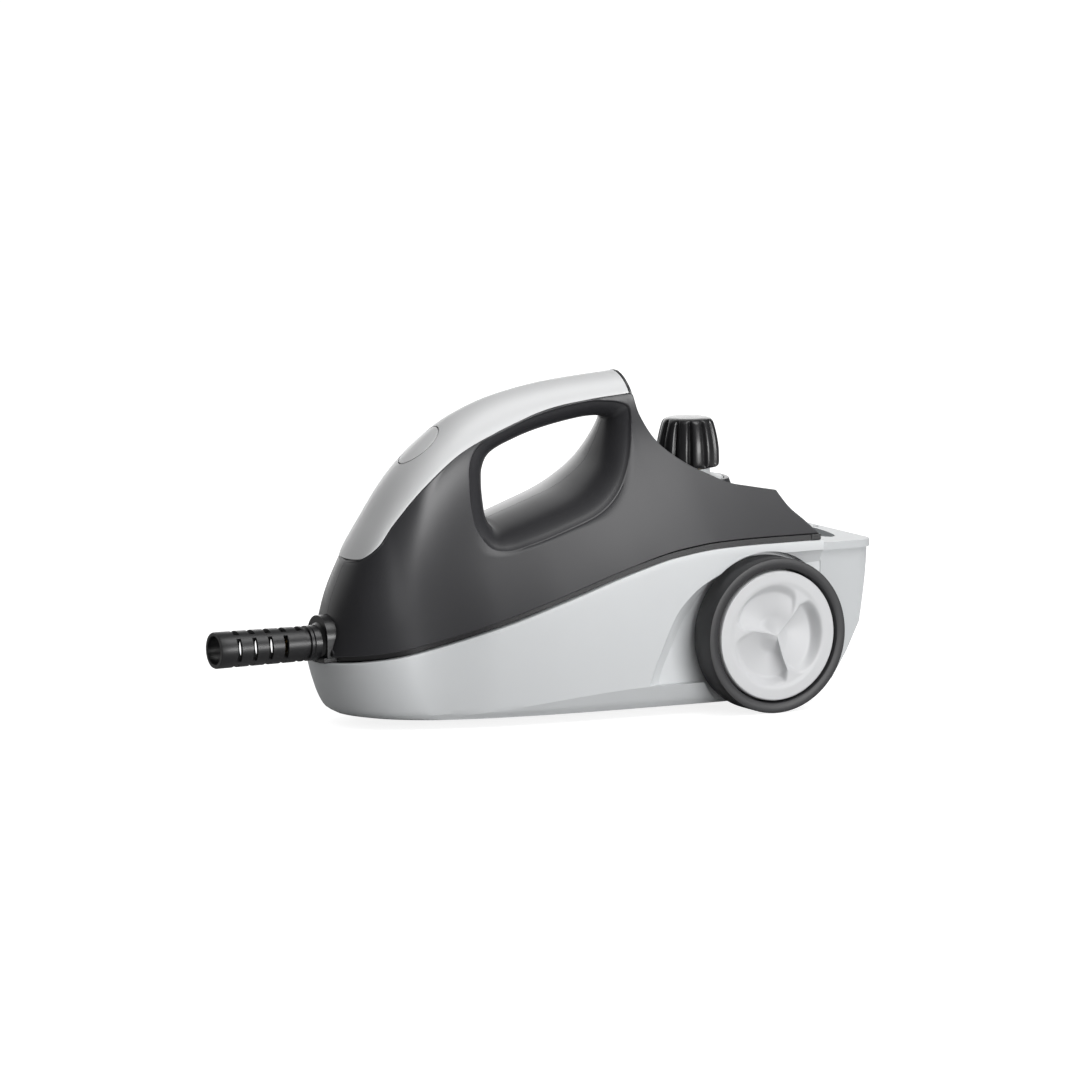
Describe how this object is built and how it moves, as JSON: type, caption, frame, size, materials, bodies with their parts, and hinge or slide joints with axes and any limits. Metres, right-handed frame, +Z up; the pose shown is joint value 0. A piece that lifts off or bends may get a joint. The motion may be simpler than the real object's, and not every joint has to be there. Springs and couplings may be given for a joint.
{
  "type": "canister steam cleaner",
  "caption": "Canister steam cleaner shaped like a clothes iron: handle loop, screwed safety cap, two rear wheels, swivel caster and a slotted hose relief at the nose.",
  "frame": {"origin": "on the floor, under the middle of the object's box", "axes": "+Z up, nose and hose outlet towards -Y, rear wheels' axle along X, +X is the machine's left side"},
  "size_m": [0.244, 0.569, 0.2801],
  "materials": {
    "pale_grey": "satin moulded plastic, cool light grey",
    "hub_grey": "satin moulded plastic, light grey",
    "charcoal_shell": "satin moulded plastic, charcoal",
    "silver_cover": "satin silver-grey paint on plastic",
    "black_plastic": "satin black moulded plastic",
    "black_rubber": "matt black rubber",
    "tyre": "soft black tread",
    "aluminium": "die cast",
    "steel": "zinc plated",
    "brass": "turned brass",
    "silicone": "red silicone",
    "wire_blue": "PVC sleeve",
    "wire_brown": "PVC sleeve"
  },
  "bodies": {
    "root": {"base_shell": "pale_grey", "tail_housing": "pale_grey", "cord_gland": "black_rubber", "shell_left": "charcoal_shell", "shell_right": "charcoal_shell", "handle_cover": "silver_cover", "seam_strip": "black_plastic", "hose_flange": "black_plastic", "hose_relief": "black_rubber", "hose_fitting": "brass", "boiler_bottom": "aluminium", "boiler_top": "aluminium", "boiler_gasket": "silicone", "heating_element": "steel", "boiler_screw_1": "steel", "boiler_screw_2": "steel", "boiler_screw_3": "steel", "boiler_screw_4": "steel", "boiler_foot_1": "silicone", "boiler_foot_2": "silicone", "boiler_foot_3": "silicone", "filler_neck": "brass", "filler_collar": "pale_grey", "thermostat": "black_plastic", "thermal_fuse": "steel", "safety_valve": "brass", "steam_valve": "brass", "steam_pipe_rear": "steel", "steam_pipe_front": "steel", "button_spring": "steel", "power_switch": "black_plastic", "terminal_block": "black_plastic", "wire_switch": "wire_brown", "wire_thermostat": "wire_blue", "axle": "steel", "axle_clip_left": "steel", "axle_clip_right": "steel", "axle_bush_left": "black_plastic", "axle_bush_right": "black_plastic", "caster_socket": "black_plastic", "case_screw_1": "steel", "case_screw_2": "steel", "case_screw_3": "steel", "case_screw_4": "steel"},
    "wheel_left_body": {"tyre_left": "tyre", "wheel_left": "black_plastic", "hub_cap_left": "hub_grey"},
    "wheel_right_body": {"tyre_right": "tyre", "wheel_right": "black_plastic", "hub_cap_right": "hub_grey"},
    "caster_fork_body": {"caster_fork": "black_plastic", "caster_pin": "steel"},
    "caster_wheel_body": {"caster_wheel": "tyre"},
    "button_body": {"power_button": "silver_cover"},
    "cap_lift": {"cap_washer": "silicone", "relief_plunger": "steel"},
    "cap_screw": {"cap_stem": "brass", "cap_spring": "steel"},
    "cap_push": {"cap_knob": "black_plastic"}
  },
  "joints": [
    {"name": "wheel_left_spin", "type": "hinge", "parent": "root", "child": "wheel_left_body", "pos_m": [0.108, 0.1785, 0.065], "axis": [1, 0, 0], "continuous": true},
    {"name": "wheel_right_spin", "type": "hinge", "parent": "root", "child": "wheel_right_body", "pos_m": [-0.108, 0.1785, 0.065], "axis": [1, 0, 0], "continuous": true},
    {"name": "caster_swivel", "type": "hinge", "parent": "root", "child": "caster_fork_body", "pos_m": [0, -0.1135, 0.04], "axis": [0, 0, 1], "continuous": true},
    {"name": "caster_roll", "type": "hinge", "parent": "caster_fork_body", "child": "caster_wheel_body", "pos_m": [0, -0.1045, 0.015], "axis": [1, 0, 0], "continuous": true},
    {"name": "button_press", "type": "slide", "parent": "root", "child": "button_body", "axis": [0, 0.7071, -0.7071], "range_m": [0, 0.0025], "stiffness_N_per_m": 400, "deforming": ["button_spring"]},
    {"name": "cap_rise", "type": "slide", "parent": "root", "child": "cap_lift", "axis": [0, 0, 1], "range_m": [0, 0.0176]},
    {"name": "cap_turn", "type": "hinge", "parent": "cap_lift", "child": "cap_screw", "pos_m": [0, 0.1609, 0.19], "axis": [0, 0, 1], "range_deg": [0, 1260]},
    {"name": "cap_press", "type": "slide", "parent": "cap_screw", "child": "cap_push", "axis": [0, 0, 1], "range_m": [-0.003, 0], "stiffness_N_per_m": 600, "deforming": ["cap_spring"]}
  ],
  "couplings": [
    {"joint": "cap_rise", "follows": "cap_turn", "m_per_rad": 0.00079577}
  ]
}
